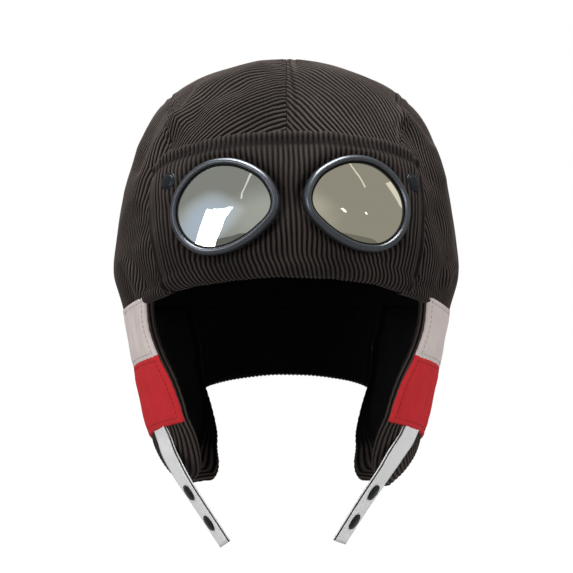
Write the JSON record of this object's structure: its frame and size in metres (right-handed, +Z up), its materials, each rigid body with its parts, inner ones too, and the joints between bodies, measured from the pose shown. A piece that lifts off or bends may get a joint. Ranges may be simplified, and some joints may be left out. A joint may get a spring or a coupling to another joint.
{
  "type": "aviator hat",
  "caption": "Dark corduroy aviator hat with a goggle panel, padded ear flaps with white and red patches, a nape flap and snap chin straps.",
  "frame": {"origin": "middle of the head opening, level with the lower edge of the brow", "axes": "+Z up, -Y to the front of the hat, +X to the right as seen from the front"},
  "size_m": [0.1916, 0.2314, 0.2692],
  "materials": {
    "corduroy": "dark brown cotton corduroy, wales about 2.6 mm apart",
    "lining": "matt black lining cloth",
    "white_nylon": "off-white plain nylon, soft sheen",
    "red_nylon": "red plain nylon, soft sheen",
    "white_webbing": "pale grey two-ply reflective webbing",
    "gunmetal": "dark blue-grey satin",
    "gasket": "matt black",
    "mirror_lens": "grey-green mirror coating",
    "snap_metal": "dark satin, thin bright rim"
  },
  "bodies": {
    "root": {"crown_top_left": "corduroy", "crown_top_right": "corduroy", "crown_side_left": "corduroy", "crown_side_right": "corduroy", "crown_lining": "lining", "goggle_panel": "corduroy", "goggle_frame_left": "gunmetal", "goggle_frame_right": "gunmetal", "goggle_gasket_left": "gasket", "goggle_gasket_right": "gasket", "goggle_lens_left": "mirror_lens", "goggle_lens_right": "mirror_lens", "panel_snap_left": "snap_metal", "panel_snap_right": "snap_metal", "nape_flap": "corduroy", "ear_flap_left": "corduroy", "ear_flap_right": "corduroy", "flap_lining_left": "lining", "flap_lining_right": "lining", "patch_white_left": "white_nylon", "patch_white_right": "white_nylon", "patch_red_left": "red_nylon", "patch_red_right": "red_nylon", "chin_strap_left": "white_webbing", "chin_strap_right": "white_webbing", "strap_snap_left_1": "snap_metal", "strap_snap_left_2": "snap_metal", "strap_snap_right_1": "snap_metal", "strap_snap_right_2": "snap_metal"}
  },
  "joints": []
}
